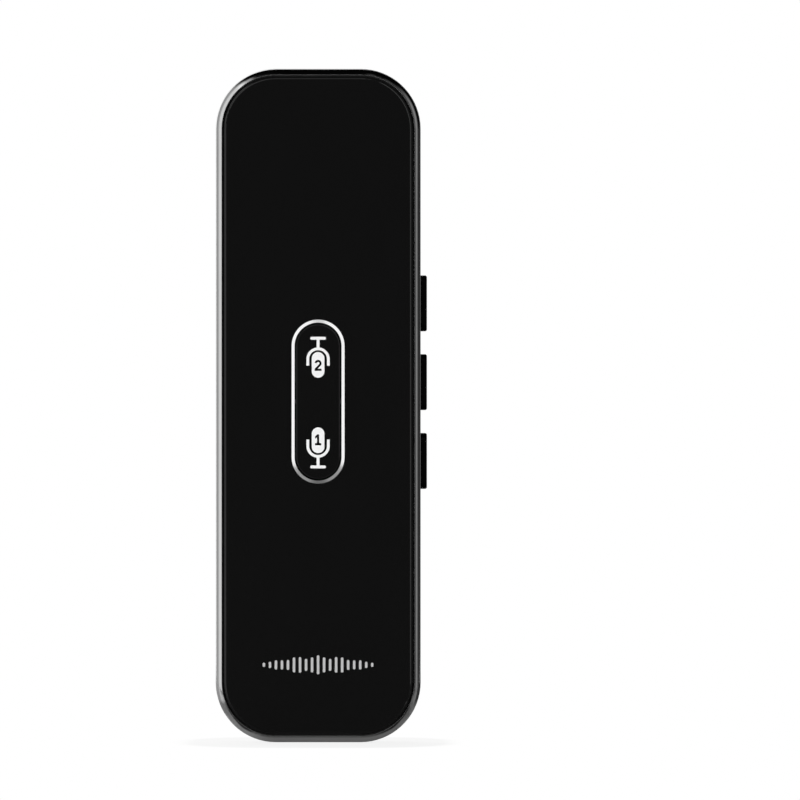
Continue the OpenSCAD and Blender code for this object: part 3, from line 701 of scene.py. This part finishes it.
def painted_light_and_shade(tree, x, y):
    """Painted light and shade on the floor near the object, which only shiny surfaces see, over x
    and y in millimetres: the dark and the light parts of the room as the photo's rim shows them."""
    width = math_node(tree, "ABSOLUTE", x)
    beside = highest(tree, [math_node(tree, "SUBTRACT", width, LIT_BEND_X), 0])
    reach = total(tree, [y, math_node(tree, "MULTIPLY", beside, LIT_BEND)])
    lit = remap(tree, reach, *LIT_SHARE_Y, smooth=True)
    front = product(tree, [lit, remap(tree, x, *FRONT_TONE_X)])
    rear_share = remap(tree, x, *REAR_SHARE_X)
    rear = product(tree, [remap(tree, y, *REAR_TONE_Y, smooth=True), rear_share])
    left_share = remap(tree, x, *LEFT_SHARE_X, smooth=True)
    left = product(tree, [left_share, remap(tree, y, *LEFT_TONE_Y)])
    ahead = remap(tree, y, *AHEAD_TONE_Y, smooth=True)
    middle = highest(tree, [front, rear, left, ahead])
    far = remap(tree, x, *FAR_RIGHT_SHARE_X)
    right_tone = blend(tree, far, NEAR_RIGHT_TONE, remap(tree, y, *FAR_RIGHT_TONE_Y))
    right = product(tree, [lit, right_tone])
    return blend(tree, remap(tree, x, *RIGHT_SHARE_X), middle, right)


def painted_reflection_colour(tree, x, y, radius):
    """The floor's colour for shiny surfaces, with painted light and shade for them to reflect. Its
    front edge fades, so that the glass mirrors no hard border."""
    outermost = remap(tree, radius, *EDGE_SHARE_R, smooth=True)
    edge = product(tree, [outermost, remap(tree, y, *EDGE_SHARE_Y, smooth=True)])
    tone = blend(tree, edge, painted_light_and_shade(tree, x, y), EDGE_TONE)
    return add(tree, "ShaderNodeCombineColor", {0: tone, 1: tone, 2: tone}).outputs[0]


def clear_of_shadow(tree, spot):
    """0 under the object and 1 where its shadow has faded, at a spot counted from the object."""
    outline = (BODY_W / 2 - CORNER_R, -FRAME_LOW.y, 1)
    past = vector_node(tree, "SUBTRACT", vector_node(tree, "ABSOLUTE", spot), outline)
    away = vector_node(tree, "LENGTH", vector_node(tree, "MAXIMUM", past, (0, 0, 0)))
    return remap(tree, away, 0, 1, (0, SHADOW_REACH), smooth=True)


def floor_finish(name):
    """Pale for the lamps, with painted light and shade for shiny surfaces, and white for the camera
    but for a shadow.
    """
    material, tree, shader = new_material(name)
    shader.inputs["Roughness"].default_value = 0.9
    shader.inputs["Specular IOR Level"].default_value = 0.0
    rays = add(tree, "ShaderNodeLightPath").outputs
    shiny = highest(tree, [rays["Is Glossy Ray"], rays["Is Transmission Ray"]])
    point = object_point(tree)
    radius = vector_node(tree, "LENGTH", point)
    spot = vector_node(tree, "ADD", point, (0, FLOOR_BACK, 0))
    x, y = [math_node(tree, "DIVIDE", axis, MM) for axis in axes(tree, spot)[0:2]]
    pale = blend_colours(tree, noise(tree, 30 * MM, detail=3), *map(grey, FLOOR_PALE))
    # Shiny surfaces see painted light and shade on the floor in place of its pale colour.
    colour = blend_colours(tree, shiny, pale, painted_reflection_colour(tree, x, y, radius))
    tree.links.new(colour, shader.inputs["Base Color"])
    rim = remap(tree, radius, *WHITE_SHARE_R, smooth=True)
    white = highest(tree, [rim, clear_of_shadow(tree, spot), SHADOW_WHITE])
    seen = product(tree, [rays["Is Camera Ray"], white])
    mirrored = product(tree, [shiny, rim, remap(tree, y, *WHITE_SHARE_Y, smooth=True)])
    glowing = highest(tree, [seen, mirrored])
    glow = add(tree, "ShaderNodeEmission", {"Strength": 1.0})
    inputs = {0: glowing, 1: shader.outputs[0], 2: glow.outputs[0]}
    mixed = add(tree, "ShaderNodeMixShader", inputs)
    tree.links.new(mixed.outputs[0], tree.nodes["Material Output"].inputs["Surface"])
    return material


def build_floor():
    """A pale disc that runs out to white before its rim and keeps the shadow near the object."""
    mesh = bpy.data.meshes.new("floor")
    bm = bmesh.new()
    bmesh.ops.create_circle(bm, cap_ends=True, segments=FLOOR_SIDES, radius=FLOOR_R)
    bm.to_mesh(mesh)
    bm.free()
    mesh.materials.append(floor_finish("floor_finish"))
    floor = bpy.data.objects.new("floor", mesh)
    floor.location = (0, FLOOR_BACK, -FLOOR_DROP)
    bpy.context.scene.collection.objects.link(floor)


def softbox(name, stands, aim, size, power):
    """A soft lamp that lights matt surfaces only. Shiny ones see the studio instead."""
    lamp = bpy.data.lights.new(name, "AREA")
    lamp.shape = "RECTANGLE"
    lamp.size, lamp.size_y = size
    lamp.energy = power
    box = bpy.data.objects.new(name, lamp)
    box.location = stands
    box.rotation_euler = (Vector(aim) - Vector(stands)).to_track_quat("-Z", "Y").to_euler()
    box.visible_camera = False
    box.visible_glossy = False
    box.visible_transmission = False
    bpy.context.scene.collection.objects.link(box)


def build_camera():
    """A long lens that shows the object at the photo's size and place."""
    lens = bpy.data.cameras.new("camera")
    lens.sensor_width = SENSOR
    lens.lens = SENSOR * PIXELS_PER_MM / PIXELS * CAMERA_DISTANCE / MM
    camera = bpy.data.objects.new("camera", lens)
    camera.location = (CAMERA_X, GLASS_FRONT - CAMERA_DISTANCE, CAMERA_Z)
    camera.rotation_euler = (math.pi / 2, 0, 0)
    bpy.context.scene.collection.objects.link(camera)
    bpy.context.scene.camera = camera


dress_model()
mic_mark("upper_mark", two_outline(), KEY_Z / MM + MARK_RISE, up=-1)
mic_mark("lower_mark", one_outline(), KEY_Z / MM - MARK_DROP, up=1)
level_bars()
usb_contacts()
build_world()
build_floor()
for lamp_name, setting in LAMPS.items():
    softbox(lamp_name, *setting)
build_camera()
bpy.context.scene.view_settings.view_transform = "Standard"
